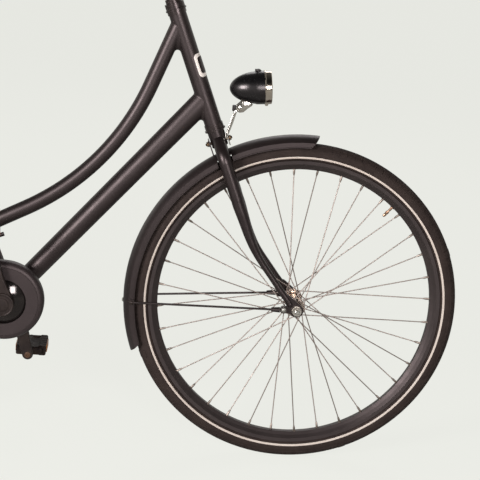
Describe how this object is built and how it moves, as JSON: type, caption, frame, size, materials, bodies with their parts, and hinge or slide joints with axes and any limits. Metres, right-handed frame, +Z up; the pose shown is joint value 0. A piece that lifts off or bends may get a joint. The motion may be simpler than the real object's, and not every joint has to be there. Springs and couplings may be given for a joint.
{
  "type": "child's step-through bicycle",
  "caption": "Child's step-through bicycle with a swan-neck top tube, full mudguards, closed chain case, bullet headlamp, carrier and rear stand; wheels, steering, cranks, pedals and stand move.",
  "frame": {"origin": "on the floor, under the middle of the bicycle's box", "axes": "+X is forward, +Y is the rider's left, +Z is up"},
  "size_m": [1.5719, 0.568, 1.0017],
  "materials": {
    "frame_paint": "satin black paint",
    "guard_paint": "satin black paint",
    "carrier_paint": "satin black paint",
    "stand_paint": "satin black paint",
    "bar_paint": "satin black paint",
    "headset_black": "satin, slightly brown",
    "stay_black": "satin black",
    "lamp_black": "gloss black",
    "lamp_chrome": "polished",
    "lamp_glass": "clear, fluted",
    "reflector_bright": "polished bowl",
    "clamp_chrome": "polished",
    "axle_zinc": "zinc plated",
    "hub_chrome": "polished",
    "spoke_steel": "bright steel",
    "spring_steel": "gloss black",
    "rim_black": "matt black",
    "tyre_rubber": "matt",
    "grip_rubber": "matt",
    "pedal_rubber": "worn matt",
    "saddle_leather": "soft grain",
    "case_plastic": "moulded satin",
    "crank_black": "satin black",
    "dome_gloss": "gloss black",
    "red_lens": "clear red"
  },
  "bodies": {
    "frame": {"head_tube": "frame_paint", "headset_cups": "headset_black", "down_tube": "frame_paint", "top_tube": "frame_paint", "seat_tube": "frame_paint", "bottom_bracket": "frame_paint", "chain_stays": "frame_paint", "seat_stays": "frame_paint", "seat_clamp": "clamp_chrome", "seat_post": "clamp_chrome", "saddle_cover": "saddle_leather", "saddle_frame": "spring_steel", "rear_mudguard": "guard_paint", "rear_mudguard_stays": "stay_black", "rear_carrier": "carrier_paint", "rear_lamp": "red_lens", "chain_case": "case_plastic", "rear_axle": "axle_zinc", "brake_arm": "axle_zinc"},
    "steering": {"fork": "frame_paint", "headset_nut": "headset_black", "handlebar_stem": "bar_paint", "handlebar": "bar_paint", "grips": "grip_rubber", "bell": "lamp_chrome", "crown_bolt": "axle_zinc", "front_mudguard": "guard_paint", "front_mudguard_stays": "stay_black", "headlamp_shell": "lamp_black", "headlamp_bezel": "lamp_chrome", "headlamp_lens": "lamp_glass", "headlamp_reflector": "reflector_bright", "headlamp_bracket": "lamp_chrome", "front_axle": "axle_zinc"},
    "front_wheel": {"front_tyre": "tyre_rubber", "front_rim": "rim_black", "front_spokes": "spoke_steel", "front_hub": "hub_chrome"},
    "rear_wheel": {"rear_tyre": "tyre_rubber", "rear_rim": "rim_black", "rear_spokes": "spoke_steel", "rear_hub": "hub_chrome"},
    "cranks": {"crank_spindle": "axle_zinc", "crank_right": "crank_black", "crank_left": "crank_black", "chainring": "dome_gloss"},
    "pedal_right": {"pedal_right": "pedal_rubber"},
    "pedal_left": {"pedal_left": "pedal_rubber"},
    "stand": {"rear_stand": "stand_paint"}
  },
  "joints": [
    {"name": "steering", "type": "hinge", "parent": "frame", "child": "steering", "pos_m": [0.26268, 0, 0.7335], "axis": [-0.3746, 0, 0.9272], "range_deg": [-60, 60]},
    {"name": "front_wheel_spin", "type": "hinge", "parent": "steering", "child": "front_wheel", "pos_m": [0.479, 0, 0.307], "axis": [0, 1, 0], "continuous": true},
    {"name": "rear_wheel_spin", "type": "hinge", "parent": "frame", "child": "rear_wheel", "pos_m": [-0.464, 0, 0.345], "axis": [0, 1, 0], "continuous": true},
    {"name": "crank_spin", "type": "hinge", "parent": "frame", "child": "cranks", "pos_m": [-0.061, 0, 0.294], "axis": [0, 1, 0], "continuous": true},
    {"name": "pedal_right_spin", "type": "hinge", "parent": "cranks", "child": "pedal_right", "pos_m": [-0.10058, 0, 0.43868], "axis": [0, 1, 0], "continuous": true},
    {"name": "pedal_left_spin", "type": "hinge", "parent": "cranks", "child": "pedal_left", "pos_m": [-0.02142, 0, 0.14932], "axis": [0, 1, 0], "continuous": true},
    {"name": "stand_fold", "type": "hinge", "parent": "frame", "child": "stand", "pos_m": [-0.464, 0, 0.345], "axis": [0, 1, 0], "range_deg": [0, 98]}
  ]
}
